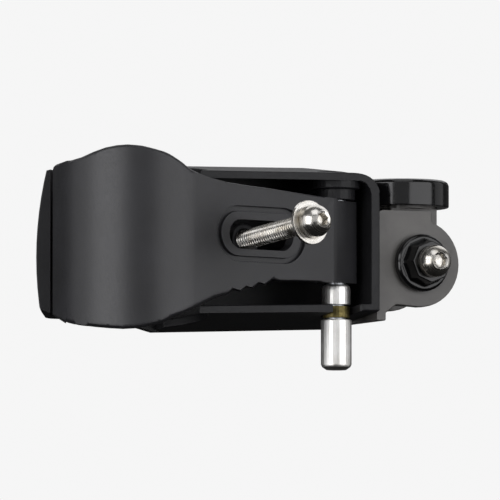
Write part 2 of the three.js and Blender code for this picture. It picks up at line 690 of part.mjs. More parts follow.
function umbrellaSocket() {
  const tongue = new THREE.Shape();
  tongue.absarc(0, 0, block.tongueRadius, 0, 2 * Math.PI, false);
  const thick = crosswise(
    rectangle(-block.halfWidth, block.tongueRadius * Math.SQRT1_2, block.halfWidth, spigot.low),
    -block.halfDepth, block.halfDepth,
  );
  const thin = crosswise(
    rectangle(-block.halfWidth, 0, block.halfWidth, spigot.low), -block.tongueHalf, block.tongueHalf,
  );
  const eye = crosswise(tongue, -block.tongueHalf, block.tongueHalf);
  const discRoom = moved(
    pipe(thread.radius, disc.radius + clearance, block.tongueHalf, block.halfDepth + overrun),
    frameAlong(new THREE.Vector3(), new THREE.Vector3(0, 1, 0)),
  );
  const otherRoom = moved(
    pipe(thread.radius, disc.radius + clearance, block.tongueHalf, block.halfDepth + overrun),
    frameAlong(new THREE.Vector3(), new THREE.Vector3(0, -1, 0)),
  );
  const neck = bar(spigot.radius, spigot.low, spigot.high, fineSteps);
  const pocket = bar(spigot.pocketRadius, spigot.pocketFloor, spigot.high + overrun, fineSteps);
  const bore = bar(rod.radius, block.floor, spigot.high + overrun, fineSteps);
  const axle = moved(
    bar(thread.radius + clearance, -block.halfDepth, block.halfDepth),
    frameAlong(new THREE.Vector3(), new THREE.Vector3(0, 1, 0)),
  );
  return cut(joined(eye, thin, thick, neck), discRoom, otherRoom, pocket, bore, axle);
}

function splitCollet() {
  const sleeve = turned([
    [rod.radius, collet.low], [collet.outer, collet.low], [collet.outer, collet.coneStart],
    [collet.outer - collet.coneDrop, collet.high], [rod.radius, collet.high], [rod.radius, collet.low],
  ], fineSteps);
  const third = (collet.high - collet.low) / 3;
  const slits = [];
  for (let i = 0; i < collet.slits; i += 1) {
    const slit = upright(
      rectangle(0, -collet.slitWidth / 2, collet.outer + overrun, collet.slitWidth / 2),
      collet.low + third, collet.high + overrun,
    );
    const turn = new THREE.Matrix4().makeRotationZ((i / collet.slits) * 2 * Math.PI);
    slits.push(moved(slit, turn));
  }
  return cut(sleeve, ...slits);
}

function colletNut() {
  const inner = spigot.radius + clearance;
  const body = turned([
    [inner, collar.low], [collar.radius, collar.low],
    [collar.radius, collar.high - collar.edge],
    [collar.radius - collar.edge * (1 - Math.SQRT1_2), collar.high - collar.edge * (1 - Math.SQRT1_2)],
    [collar.radius - collar.edge, collar.high],
    [collar.mouth, collar.high], [collar.throat, collar.ceiling], [inner, collar.ceiling],
    [inner, collar.low],
  ], 2 * fineSteps);
  return body;
}

function tiltKnob() {
  const bore = thread.radius + clearance;
  const flangeEnd = knob.flangeThickness;
  const flange = turned([
    [0, 0], [knob.flangeRadius, 0], [knob.flangeRadius, flangeEnd - knob.edge],
    [knob.flangeRadius - knob.edge, flangeEnd], [0, flangeEnd],
  ], fineSteps);
  const taper = new THREE.CylinderGeometry(knob.endRadius, knob.rootRadius, knob.length, knob.sides, 1)
    .rotateX(Math.PI / 2)
    .translate(0, 0, flangeEnd - knob.sunk + knob.length / 2);
  return joined(flange, toSolid(taper)).subtract(bar(bore, -overrun, knob.length + 2 * flangeEnd));
}

function hexNut() {
  const corner = tiltNut.acrossFlats / 2 / Math.cos(Math.PI / 6);
  const body = upright(polygonShape(6, corner), 0, tiltNut.thickness);
  return body.subtract(bar(thread.radius + clearance, -overrun, tiltNut.thickness + overrun));
}

// Assembly

function atFrame(mesh, matrix) {
  matrix.decompose(mesh.position, mesh.quaternion, mesh.scale);
  return mesh;
}

function hingeGroup() {
  const group = new THREE.Group();
  group.position.set(hingeCentre.x, hingeCentre.y, 0);
  group.add(
    piece('hinge_bolt', hingeBolt(), brightSteel),
    piece('hinge_spacer', hingeSpacer(), whiteNickel),
    piece('hinge_bush', pipe(thread.radius + clearance, bush.radius, bush.low, bush.high), brass),
    piece('hinge_barrel_nut', hingeBarrelNut(), whiteNickel),
  );
  return group;
}

function clampScrewGroup() {
  const group = atFrame(new THREE.Group(), screwFrame);
  const headLow = clampScrew.standOff + washer.thickness + clearance;
  const screw = piece(
    'clamp_screw', domedScrew(headLow - rearBossEnd + clampScrew.pastBoss), whiteNickel,
  );
  screw.position.z = headLow;
  const disk = piece(
    'screw_washer', pipe(thread.radius + clearance, washer.radius, 0, washer.thickness), whiteNickel,
  );
  disk.position.z = clampScrew.standOff;
  const insertLength = insertFront - rearBossEnd - 2 * clearance;
  const sleeve = piece('clamp_insert', threadedInsert(insertLength), brass);
  sleeve.position.z = rearBossEnd + clearance;
  group.add(screw, disk, sleeve);
  return group;
}

function swivelGroup() {
  const group = atFrame(new THREE.Group(), frameAlong(
    new THREE.Vector3(channel.right, swivelY, swivel.rise), new THREE.Vector3(1, 0, 0),
  ));
  const washerAt = clearance + yoke.baseThickness + closeClearance + wave.swing;
  const wavy = piece('wave_washer', waveWasher(), springSteel);
  wavy.position.z = washerAt;
  const clip = piece('swivel_retaining_ring', retainingRing(), springSteel);
  clip.position.z = hub.grooveStart + (hub.grooveWidth - ring.thickness) / 2;
  group.add(wavy, clip);
  return group;
}

function frictionDisc() {
  return pipe(thread.radius + clearance, disc.radius, 0, disc.thickness);
}

// Pieces on the tilt axis, which runs from the back to the front
function tiltAxisGroup() {
  const group = atFrame(new THREE.Group(), frameAlong(new THREE.Vector3(), new THREE.Vector3(0, -1, 0)));
  const discAt = (block.tongueHalf + yoke.earHalfGap - disc.thickness) / 2;
  const frontDisc = piece('tilt_disc_front', frictionDisc(), fibre);
  frontDisc.position.z = discAt;
  const rearDisc = piece('tilt_disc_rear', frictionDisc(), fibre);
  rearDisc.position.z = -discAt - disc.thickness;
  const grip = piece('tilt_knob', tiltKnob(), glossBlack);
  grip.position.z = earOuter + clearance;
  const knobEnd = grip.position.z + knob.flangeThickness - knob.sunk + knob.length;
  const flat = piece(
    'tilt_washer', pipe(thread.radius + clearance, washer.radius, 0, washer.thickness), brightSteel,
  );
  flat.position.z = -earOuter - clearance - washer.thickness;
  const nut = piece('tilt_nut', hexNut(), brightSteel);
  nut.position.z = flat.position.z - clearance - tiltNut.thickness;
  const screwAt = knobEnd + clearance;
  const screw = piece(
    'tilt_screw', domedScrew(screwAt - nut.position.z + tiltNut.screwPast), whiteNickel,
  );
  screw.position.z = screwAt;
  group.add(frontDisc, rearDisc, grip, flat, nut, screw);
  return group;
}

function headGroup() {
  const group = new THREE.Group();
  group.position.set(tiltX, swivelY, swivel.rise);
  group.add(
    piece('swivel_yoke', swivelYoke(), greyPlastic),
    piece('umbrella_socket', umbrellaSocket(), greyPlastic),
    piece('collet', splitCollet(), brass),
    piece('collet_nut', colletNut(), glossBlack),
    tiltAxisGroup(),
  );
  return group;
}

const bracket = new THREE.Group();
bracket.add(
  piece('rear_jaw', rearJaw(), blackPlastic),
  piece('rear_pad', rearPad(), blackRubber),
  piece('front_jaw', frontJaw(), blackPlastic),
  piece('front_pad', frontPad(), blackRubber),
  hingeGroup(),
  clampScrewGroup(),
  swivelGroup(),
  headGroup(),
);

export default bracket;
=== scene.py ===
"""Looks of the umbrella swivel bracket: finishes, rounded mouldings, threads and the studio round it.

Every length in a dataclass field is in millimetres; the meshes are made in metres, in the frame of the
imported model, where +Z goes up along the gripped tube and -Y is the front.
"""

from __future__ import annotations

import logging
import math
from dataclasses import dataclass, field
from enum import Enum
from typing import Callable, Sequence

import bmesh
import bpy
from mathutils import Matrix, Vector
from mathutils.geometry import intersect_point_line


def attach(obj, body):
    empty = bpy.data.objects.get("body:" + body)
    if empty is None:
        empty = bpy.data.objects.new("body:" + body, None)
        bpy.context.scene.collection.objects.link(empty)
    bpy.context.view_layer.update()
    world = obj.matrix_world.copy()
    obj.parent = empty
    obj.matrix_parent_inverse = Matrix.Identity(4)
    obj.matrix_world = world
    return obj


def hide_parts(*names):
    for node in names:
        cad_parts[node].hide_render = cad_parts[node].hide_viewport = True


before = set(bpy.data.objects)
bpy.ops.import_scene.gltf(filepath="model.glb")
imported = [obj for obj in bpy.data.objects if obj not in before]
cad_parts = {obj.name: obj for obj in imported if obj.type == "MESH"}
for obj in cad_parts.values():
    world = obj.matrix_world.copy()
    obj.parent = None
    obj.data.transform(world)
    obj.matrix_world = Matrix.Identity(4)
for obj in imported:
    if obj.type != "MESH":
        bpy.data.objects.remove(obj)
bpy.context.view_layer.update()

log = logging.getLogger("umbrella_swivel_bracket")

MM = 0.001
SHARP_TURN = 35.0  # edges that turn by more degrees get a rounding
FLAT_TURN = 0.8  # faces that turn by less are one face
SMOOTH_TURN = 32.0  # edges that turn by more show as edges
FOLDED = -0.9  # the cosine between neighbouring faces, of which one is turned back
FOLD_ROUNDS = 4  # how often a rounding is tried before its last tight edges stay as they are
FOLD_REACH = 1.1  # how far round a fold edges count as tight, in widths of their rounding
SAME_PLACE = 0.002  # corners closer than this, in millimetres, are one corner
SLIVER = 0.003  # a rounding's leftovers are thinner, in millimetres
TIP_RADIUS = 0.05  # a turned mesh ends in a face this small, in millimetres
MIX_SHARE, MIX_FIRST, MIX_SECOND, MIX_COLOUR = 0, 6, 7, 2  # a colour mix node's inputs, and its output
Colour = tuple[float, float, float, float]
Tree = bpy.types.NodeTree
Source = bpy.types.NodeSocket
Span = tuple[float, float]
RadiusAt = Callable[[float], float]


def linear(hex_colour: str) -> Colour:
    """Turns an sRGB colour into the linear one that Blender's shaders use.

    Args:
        hex_colour: the colour as six hexadecimal digits, such as "1a2b3c".

    Returns:
        Red, green, blue and an alpha of 1, each from 0 to 1.
    """
    shares = [int(hex_colour[place:place + 2], 16) / 255 for place in (0, 2, 4)]
    lit = [share / 12.92 if share <= 0.04045 else ((share + 0.055) / 1.055) ** 2.4 for share in shares]
    return (lit[0], lit[1], lit[2], 1.0)


def per_metre(size: float) -> float:
    """The texture scale at which a feature of this size in millimetres repeats once."""
    return 1 / (size * MM)


def add_node(
    tree: Tree,
    kind: str,
    settings: dict[str, object] | None = None,
    values: dict[str | int, object] | None = None,
    links: dict[str | int, Source] | None = None,
) -> bpy.types.Node:
    """Adds one node with its settings, its constant inputs and its links.

    Args:
        tree: the node tree that gets it.
        kind: Blender's name for the kind of node.
        settings: properties of the node itself.
        values: constants for inputs, by name or number.
        links: the outputs that feed inputs, by name or number.

    Returns:
        The new node.
    """
    made = tree.nodes.new(kind)
    for name, value in (settings or {}).items():
        setattr(made, name, value)
    for name, value in (values or {}).items():
        made.inputs[name].default_value = value
    for name, source in (links or {}).items():
        tree.links.new(source, made.inputs[name])
    return made


# Patterns


def noise(
    tree: Tree, place: Source, size: float, detail: float,
    values: dict[str | int, object] | None = None, settings: dict[str, object] | None = None,
) -> Source:
    """A cloudy pattern whose features are a real size.

    Args:
        tree: the material's node tree.
        place: where each point of the surface lies.
        size: the features' size in millimetres.
        detail: how many finer layers it has.
        values: other constants of the pattern.
        settings: properties of the pattern itself.

    Returns:
        The pattern, from 0 to 1.
    """
    every = {"Scale": per_metre(size), "Detail": detail, **(values or {})}
    return add_node(tree, "ShaderNodeTexNoise", settings, every, {"Vector": place}).outputs["Fac"]


def spread(
    tree: Tree, source: Source, span: Span, onto: Span = (0.0, 1.0),
) -> Source:
    """Spreads the part of a pattern that lies in one span over another, and cuts off the rest.

    Args:
        tree: the node tree.
        source: the pattern.
        span: its values that are spread.
        onto: what they become.

    Returns:
        The spread pattern.
    """
    ends = {"From Min": span[0], "From Max": span[1], "To Min": onto[0], "To Max": onto[1]}
    return add_node(tree, "ShaderNodeMapRange", values=ends, links={"Value": source}).outputs["Result"]


def blend(
    tree: Tree, share: Source, first: str | Source, second: str,
) -> Source:
    """Mixes two colours by a pattern.

    Args:
        tree: the material's node tree.
        share: how much of the second colour shows.
        first: the colour where the share is 0, as hexadecimal digits or from a pattern.
        second: the colour where the share is 1, as hexadecimal digits.

    Returns:
        The mixed colour.
    """
    made = add_node(
        tree, "ShaderNodeMix", settings={"data_type": "RGBA"},
        values={MIX_SECOND: linear(second)}, links={MIX_SHARE: share},
    )
    if isinstance(first, str):
        made.inputs[MIX_FIRST].default_value = linear(first)
    else:
        tree.links.new(first, made.inputs[MIX_FIRST])
    return made.outputs[MIX_COLOUR]


def relief(
    tree: Tree, height: Source, depth: float, strength: float = 1.0,
) -> Source:
    """Normals as if a pattern were pressed into the surface.

    Args:
        tree: the node tree.
        height: the pattern.
        depth: how deep it goes, in millimetres.
        strength: how much of it shows.

    Returns:
        The normals.
    """
    values = {"Strength": strength, "Distance": depth * MM}
    return add_node(tree, "ShaderNodeBump", values=values, links={"Height": height}).outputs["Normal"]


# Finishes


@dataclass(frozen=True)
class Finish:
    """What every finish has: a name and a shader that dress() sets up."""

    name: str = "finish"

    def build(self) -> bpy.types.Material:
        """Makes the material with its shader and patterns."""
        material = bpy.data.materials.new(self.name)
        material.use_nodes = True
        tree = material.node_tree
        tree.nodes.clear()
        shader = add_node(tree, "ShaderNodeBsdfPrincipled")
        add_node(tree, "ShaderNodeOutputMaterial", links={"Surface": shader.outputs["BSDF"]})
        place = add_node(tree, "ShaderNodeTexCoord").outputs["Object"]
        for socket, source in self.dress(tree, shader, place).items():
            tree.links.new(source, shader.inputs[socket])
        return material

    def dress(self, tree: Tree, shader: bpy.types.Node, place: Source) -> dict[str, Source]:
        """Sets the shader's constants and makes its patterns.

        Args:
            tree: the material's node tree.
            shader: its Principled shader.
            place: where each point of the surface lies in the object.

        Returns:
            The pattern that feeds each socket of the shader.
        """
        raise NotImplementedError


@dataclass(frozen=True)
class MouldedNylon(Finish):
    """Glass-filled nylon from a spark-eroded mould: an even matt grain, with a painted highlight that makes edges a
    little paler.
    """

    dark: str = "242426"
    pale: str = "2a2a2d"
    # the paler colour painted on edges as a highlight
    edge_highlight: str = "3a3a3c"
    roughness: Span = (0.32, 0.45)
    grain: float = 0.42  # spark erosion leaves 0.1 mm pits, drawn as coarse as they need to show
    grain_depth: float = 0.014
    grain_span: Span = (0.3, 0.7)
    cloud: float = 11.0
    cloud_span: Span = (0.35, 0.65)
    edge: float = 0.35
    edge_samples: int = 4
    edge_span: Span = (0.985, 0.86)  # how squarely an edge's softened normal still meets its face
    edge_highlight_most: float = 0.6
    sheen: float = 0.5  # 0.5 is a clean skin, and less of it glances off a skin with open pores

    def dress(self, tree: Tree, shader: bpy.types.Node, place: Source) -> dict[str, Source]:
        """Matt grain, slow clouds of tone where the melt flowed, and edges painted paler as a highlight."""
        shader.inputs["IOR"].default_value = 1.53
        shader.inputs["Specular IOR Level"].default_value = self.sheen
        grain = noise(tree, place, self.grain, 3.0, {"Roughness": 0.62})
        cloud = noise(tree, place, self.cloud, 4.0, {"Roughness": 0.55})
        body = blend(tree, spread(tree, cloud, self.cloud_span), self.dark, self.pale)
        softened = add_node(
            tree, "ShaderNodeBevel", settings={"samples": self.edge_samples}, values={"Radius": self.edge * MM},
        )
        facing = add_node(tree, "ShaderNodeNewGeometry")
        turn = add_node(
            tree, "ShaderNodeVectorMath", settings={"operation": "DOT_PRODUCT"},
            links={0: softened.outputs["Normal"], 1: facing.outputs["Normal"]},
        )
        # painted highlight: edges turn paler where the softened normal turns away from the face, broken up by the
        # grain
        painted_highlight_share = spread(tree, turn.outputs["Value"], self.edge_span, (0.0, self.edge_highlight_most))
        patchy_highlight = add_node(
            tree, "ShaderNodeMath", settings={"operation": "MULTIPLY"}, links={0: painted_highlight_share, 1: grain},
        )
        return {
            "Base Color": blend(tree, patchy_highlight.outputs["Value"], body, self.edge_highlight),
            "Roughness": spread(tree, grain, self.grain_span, self.roughness),
            "Normal": relief(tree, grain, self.grain_depth),
        }


@dataclass(frozen=True)
class GlossyAbs(Finish):
    """ABS from a polished mould: deep black gloss with a faint orange peel, dust and hairline scratches."""

    body: str = "0b0b0c"
    dusty: str = "1c1b1a"
    roughness: Span = (0.12, 0.24)
    peel: float = 1.6
    peel_depth: float = 0.006
    hairline: float = 0.35  # real hairlines are 0.02 mm wide, drawn as coarse as they need to show
    hairline_turn: tuple[float, float, float] = (0.5, 0.3, 0.9)
    hairline_stretch: float = 0.08
    dust_span: Span = (0.56, 0.74)
    dust_most: float = 0.5
    gloss_span: Span = (0.4, 0.75)

    def dress(self, tree: Tree, shader: bpy.types.Node, place: Source) -> dict[str, Source]:
        """Gloss that hairlines and dust make a little uneven."""
        shader.inputs["IOR"].default_value = 1.54
        peel = noise(tree, place, self.peel, 1.0)
        stretched = add_node(
            tree, "ShaderNodeMapping",
            values={"Rotation": self.hairline_turn, "Scale": (1.0, self.hairline_stretch, 1.0)},
            links={"Vector": place},
        )
        hairs = noise(tree, stretched.outputs["Vector"], self.hairline, 2.0, {"Roughness": 0.7})
        dust = spread(tree, hairs, self.dust_span, (0.0, self.dust_most))
        return {
            "Base Color": blend(tree, dust, self.body, self.dusty),
            "Roughness": spread(tree, hairs, self.gloss_span, self.roughness),
            "Normal": relief(tree, peel, self.peel_depth),
        }


@dataclass(frozen=True)
class NitrileRubber(Finish):
    """Moulded nitrile rubber: dull black with open pores and a pale bloom."""

    body: str = "131313"
    bloom: str = "2a2926"
    pore: float = 0.6
    pore_depth: float = 0.03
    pore_strength: float = 0.8
    patch: float = 5.0
    patch_span: Span = (0.45, 0.7)
    patch_most: float = 0.7

    def dress(self, tree: Tree, shader: bpy.types.Node, place: Source) -> dict[str, Source]:
        """Pores and patches of bloom."""
        shader.inputs["Roughness"].default_value = 0.78
        shader.inputs["IOR"].default_value = 1.52
        pores = add_node(
            tree, "ShaderNodeTexVoronoi",
            values={"Scale": per_metre(self.pore), "Randomness": 1.0}, links={"Vector": place},
        )
        patch = noise(tree, place, self.patch, 5.0, {"Roughness": 0.6})
        bloom = spread(tree, patch, self.patch_span, (0.0, self.patch_most))
        return {
            "Base Color": blend(tree, bloom, self.body, self.bloom),
            "Normal": relief(tree, pores.outputs["Distance"], self.pore_depth, self.pore_strength),
        }


@dataclass(frozen=True)
class TurnedMetal(Finish):
    """Metal cut on a lathe: fine rings round the axis, and a plate or patina of slowly changing tone."""

    bright: str = "e9e6e0"
    dull: str = "c9c3b8"
    roughness: Span = (0.16, 0.3)
    centre: Vector = field(default_factory=Vector)
    axis: Vector = field(default_factory=lambda: Vector((0, 0, 1)))
    ring: float = 0.22  # a tool feed of 0.05 mm, drawn as coarse as it needs to show
    ring_depth: float = 0.002
    ring_span: Span = (0.3, 0.7)
    stain: float = 3.0
    stain_span: Span = (0.42, 0.7)

    def dress(self, tree: Tree, shader: bpy.types.Node, place: Source) -> dict[str, Source]:
        """Rings along the axis on the sides and round it on the ends, with stains of duller plate."""
        shader.inputs["Metallic"].default_value = 1.0
        line = self.axis.normalized()
        offset = add_node(
            tree, "ShaderNodeVectorMath", settings={"operation": "SUBTRACT"},
            values={1: self.centre * MM}, links={0: place},
        ).outputs["Vector"]
        along, across = (
            add_node(
                tree, "ShaderNodeVectorMath", settings={"operation": operation}, values={1: line}, links={0: offset},
            )
            for operation in ("DOT_PRODUCT", "CROSS_PRODUCT")
        )
        radius = add_node(
            tree, "ShaderNodeVectorMath", settings={"operation": "LENGTH"}, links={0: across.outputs["Vector"]},
        )
        feed = add_node(
            tree, "ShaderNodeCombineXYZ", links={"X": along.outputs["Value"], "Y": radius.outputs["Value"]},
        )
        rings = noise(tree, feed.outputs["Vector"], self.ring, 2.0, settings={"noise_dimensions": "2D"})
        stain = noise(tree, place, self.stain, 4.0, {"Roughness": 0.6})
        return {
            "Base Color": blend(tree, spread(tree, stain, self.stain_span), self.bright, self.dull),
            "Roughness": spread(tree, rings, self.ring_span, self.roughness),
            "Normal": relief(tree, rings, self.ring_depth),
        }


@dataclass(frozen=True)
class PressedFibre(Finish):
    """Pressed friction fibre: a brown mat with pale and dark strands."""

    body: str = "54402f"
    strand: str = "7d6950"
    thread: float = 0.5
    thread_stretch: float = 0.35
    depth: float = 0.03
    strength: float = 0.7

    def dress(self, tree: Tree, shader: bpy.types.Node, place: Source) -> dict[str, Source]:
        """Strands that lie in the plane of the disc."""
        shader.inputs["Roughness"].default_value = 0.85
        pulled = add_node(
            tree, "ShaderNodeMapping", values={"Scale": (self.thread_stretch, 1.0, 1.0)}, links={"Vector": place},
        )
        strands = noise(tree, pulled.outputs["Vector"], self.thread, 3.0, {"Distortion": 1.2})
        return {
            "Base Color": blend(tree, strands, self.body, self.strand),
            "Normal": relief(tree, strands, self.depth, self.strength),
        }


@dataclass(frozen=True)
class PaintedFloor(Finish):
    """The studio's painted floor: flat, pale and a little scuffed."""

    paint: str = "f2f2f0"
    scuffed: str = "e9e9e6"
    scuff: float = 90.0
    glow: float = 0.76  # stands for the lamps that light a studio's floor evenly

    def dress(self, tree: Tree, shader: bpy.types.Node, place: Source) -> dict[str, Source]:
        """Pale paint with slow scuffs."""
        shader.inputs["Roughness"].default_value = 0.9
        shader.inputs["Emission Strength"].default_value = self.glow
        colour = blend(tree, noise(tree, place, self.scuff, 3.0), self.paint, self.scuffed)
        return {"Base Color": colour, "Emission Color": colour}


class Slot(Enum):
    """The record's material slots."""

    JAW = "jaw_plastic"
    YOKE = "yoke_plastic"
    GLOSS = "gloss_plastic"
    RUBBER = "pad_rubber"
    NICKEL = "nickel"
    STEEL = "steel"
    SPRING = "spring_steel"
    BRASS = "brass"
    FIBRE = "fibre"


# Meshes


def smooth_by_angle(mesh: bpy.types.Mesh) -> None:
    """Shades the mesh smooth except over its sharper edges."""
    mesh.shade_smooth()
    mesh.set_sharp_from_angle(angle=math.radians(SMOOTH_TURN))


def place_in_scene(name: str, mesh: bpy.types.Mesh, finish: bpy.types.Material) -> bpy.types.Object:
    """Links a mesh into the scene as an object with one finish.

    Args:
        name: the object's name.
        mesh: its mesh.
        finish: its material.

    Returns:
        The new object.
    """
    made = bpy.data.objects.new(name, mesh)
    bpy.context.scene.collection.objects.link(made)
    mesh.materials.clear()
    mesh.materials.append(finish)
    return made


def declared(piece: bpy.types.Object, body: str, node: str) -> None:
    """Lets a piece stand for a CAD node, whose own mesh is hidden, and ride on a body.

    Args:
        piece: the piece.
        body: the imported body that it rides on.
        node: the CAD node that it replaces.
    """
    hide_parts(node)
    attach(piece, body)
    log.info("%s rides on %s for %s", piece.name, body, node)


@dataclass(frozen=True)
class Cylinder:
    """An upright cylinder that faces of a moulding follow, in millimetres."""

    x: float
    y: float
    radius: float
    slack: float = 0.12
    lean: float = 5.0  # how many degrees a face may lean from the cylinder that it follows

    def normal_at(self, place: Vector, facing: Vector) -> Vector | None:
        """The cylinder's own normal at a place, or None where the face doesn't follow the cylinder.

        Args:
            place: the place in millimetres.
            facing: the face's normal.

        Returns:
            The normal, turned to the side that the face shows.
        """
        out = Vector((place.x - self.x, place.y - self.y, 0))
        if abs(out.length - self.radius) > self.slack:
            return None
        out.normalize()
        side = out if out.dot(facing) > 0 else -out
        return side if side.dot(facing) > math.cos(math.radians(self.lean)) else None


def settle(piece: bpy.types.Object) -> None:
    """Applies a piece's rounding and clears the slivers that it leaves where it runs out.

    Args:
        piece: the object, whose modifiers are gone afterwards.
    """
    depsgraph = bpy.context.evaluated_depsgraph_get()
    mesh = bpy.data.meshes.new_from_object(
        piece.evaluated_get(depsgraph), preserve_all_data_layers=True, depsgraph=depsgraph,
    )
    piece.modifiers.clear()
    shell = bmesh.new()
    shell.from_mesh(mesh)
    bmesh.ops.remove_doubles(shell, verts=shell.verts, dist=SLIVER * MM)
    bmesh.ops.dissolve_degenerate(shell, edges=shell.edges, dist=SLIVER * MM)
    shell.to_mesh(mesh)
    shell.free()
    piece.data = mesh


def corner_normal(
    face: bmesh.types.BMFace, corner: bmesh.types.BMVert, flat: float = 12.0, curved: float = 50.0,
) -> Vector:
    """A face corner's normal: flat on the largest face of the corner, blended on the others.

    Args:
        face: the face that the corner belongs to.
        corner: the corner's vertex.
        flat: how many degrees a neighbour may turn and still blend into a large face.
        curved: the same for the narrow faces of a rounding.

    Returns:
        The unit normal.
    """
    largest = max(other.calc_area() for other in corner.link_faces)
    reach = math.cos(math.radians(flat if face.calc_area() > largest / 2 else curved))
    mean = Vector()
    for other in corner.link_faces:
        if face.normal.dot(other.normal) > reach:
            mean += other.normal * other.calc_area()
    return mean.normalized() if mean.length > 0 else face.normal.copy()


def true_up(piece: bpy.types.Object, cylinders: Sequence[Cylinder], most: float = 30.0) -> None:
    """Keeps flat faces flat and gives faces on a cylinder the cylinder's own normals.

    Args:
        piece: the object, with its modifiers applied.
        cylinders: the cylinders that its faces may follow.
        most: how many degrees a cylinder may turn a normal.
    """
    mesh = piece.data
    shell = bmesh.new()
    shell.from_mesh(mesh)
    shell.normal_update()
    normals = [corner_normal(face, loop.vert) for face in shell.faces for loop in face.loops]
    shell.free()
    trued: dict[int, Vector] = {}
    for face in mesh.polygons:
        for cylinder in cylinders:
            if cylinder.normal_at(face.center / MM, face.normal) is None:
                continue
            for corner in face.vertices:
                found = cylinder.normal_at(mesh.vertices[corner].co / MM, face.normal)
                if found is not None:
                    trued[corner] = found
    for number, loop in enumerate(mesh.loops):
        found = trued.get(loop.vertex_index)
        if found is not None and found.dot(normals[number]) > math.cos(math.radians(most)):
            normals[number] = found
    mesh.normals_split_custom_set(normals)


def round_off(piece: bpy.types.Object, width: float, segments: int) -> None:
    """Rounds a piece's weighted edges.

    Args:
        piece: the object, whose edges carry the share of the width that each takes.
        width: how far back from an edge of full weight the rounding starts, in millimetres.
        segments: faces across each rounding.
    """
    soften = piece.modifiers.new("rounded edges", "BEVEL")
    soften.width = width * MM
    soften.segments = segments
    soften.limit_method = "WEIGHT"
    soften.use_clamp_overlap = False
    soften.miter_outer = "MITER_ARC"


def folding(shell: bmesh.types.BMesh, width: float, segments: int) -> list[bmesh.types.BMEdge]:
    """Finds the edges where a rounding would run over itself and turn faces back.

    Args:
        shell: the mesh with its edge weights set.
        width: the rounding at full weight, in millimetres.
        segments: faces across the rounding.

    Returns:
        The edges within reach of a face that the rounding turns back.
    """
    trial = bpy.data.meshes.new("rounding trial")
    shell.to_mesh(trial)
    piece = bpy.data.objects.new("rounding trial", trial)
    bpy.context.scene.collection.objects.link(piece)
    round_off(piece, width, segments)
    depsgraph = bpy.context.evaluated_depsgraph_get()
    outcome = bpy.data.meshes.new_from_object(piece.evaluated_get(depsgraph))
    bpy.data.objects.remove(piece)
    tried = bmesh.new()
    tried.from_mesh(outcome)
    bpy.data.meshes.remove(outcome)
    bpy.data.meshes.remove(trial)
    bmesh.ops.triangulate(tried, faces=tried.faces)
    tried.normal_update()
    spots: list[Vector] = []
    for side in tried.edges:
        faces = side.link_faces
        if len(faces) == 2 and faces[0].normal.dot(faces[1].normal) < FOLDED:
            smaller = min(faces, key=lambda face: face.calc_area())
            spots.extend(corner.co.copy() for corner in smaller.verts)
    tried.free()
    weight = shell.edges.layers.float["bevel_weight_edge"]
    tight = []
    for side in shell.edges:
        start, end = side.verts[0].co, side.verts[1].co
        near = FOLD_REACH * width * side[weight] * MM
        for spot in spots:
            _, share = intersect_point_line(spot, start, end)
            if (start.lerp(end, min(1.0, max(0.0, share))) - spot).length < near:
                tight.append(side)
                break
    return tight


def rounded(
    node: str, edge: float, finish: bpy.types.Material, segments: int = 3,
    softer: Callable[[Vector], float] | None = None, cylinders: Sequence[Cylinder] = (),
) -> bpy.types.Object:
    """A copy of a CAD node whose sharp edges are rounded as its mould or lathe leaves them.

    Args:
        node: the CAD node's name.
        edge: how far back from each sharp edge the rounding starts, in millimetres.
        finish: the copy's material.
        segments: faces across each rounding.
        softer: gives the rounding at an edge's middle, where it isn't the same all over.
        cylinders: the cylinders whose normals its faces take.

    Returns:
        The new object, in place, not yet riding on a body.
    """
    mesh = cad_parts[node].data.copy()
    shell = bmesh.new()
    shell.from_mesh(mesh)
    bmesh.ops.remove_doubles(shell, verts=shell.verts, dist=SAME_PLACE * MM)
    bmesh.ops.dissolve_degenerate(shell, edges=shell.edges, dist=5 * SAME_PLACE * MM)
    bmesh.ops.dissolve_limit(
        shell, angle_limit=math.radians(FLAT_TURN), use_dissolve_boundaries=False,
        verts=shell.verts, edges=shell.edges,
    )
    if softer:
        rims = [corner for corner in shell.verts if softer(corner.co / MM) > edge]
        bmesh.ops.remove_doubles(shell, verts=rims, dist=2 * edge * MM)
    bmesh.ops.connect_verts_concave(shell, faces=shell.faces)
    bmesh.ops.recalc_face_normals(shell, faces=shell.faces)
    weight = shell.edges.layers.float.new("bevel_weight_edge")
    sharp = [side for side in shell.edges if side.calc_face_angle(0.0) > math.radians(SHARP_TURN)]
    reach = {}
    for side in sharp:
        middle = (side.verts[0].co + side.verts[1].co) / (2 * MM)
        reach[side] = softer(middle) if softer else edge
    widest = max(reach.values())
    for side, width in reach.items():
        side[weight] = width / widest
    for _ in range(FOLD_ROUNDS):
        tight = [side for side in folding(shell, widest, segments) if side in reach and side[weight] > 0]
        if not tight:
            break
        log.info("%s: %d of %d sharp edges are too tight to round", node, len(tight), len(sharp))
        for side in tight:
            side[weight] = 0
    shell.to_mesh(mesh)
    shell.free()
    for attribute in [layer for layer in mesh.attributes if layer.name == "custom_normal"]:
        mesh.attributes.remove(attribute)
    smooth_by_angle(mesh)
    made = place_in_scene(f"{node}_detailed", mesh, finish)
    round_off(made, widest, segments)
    settle(made)
    true_up(made, cylinders)
    return made


@dataclass(frozen=True)
class Ring:
    """One ring of a turned mesh: its place along the axis and its radius, which may change with the angle."""

    along: float
    radius: float | RadiusAt

    def at(self, angle: float) -> float:
        """The ring's radius at an angle in radians."""
        return self.radius(angle) if callable(self.radius) else self.radius


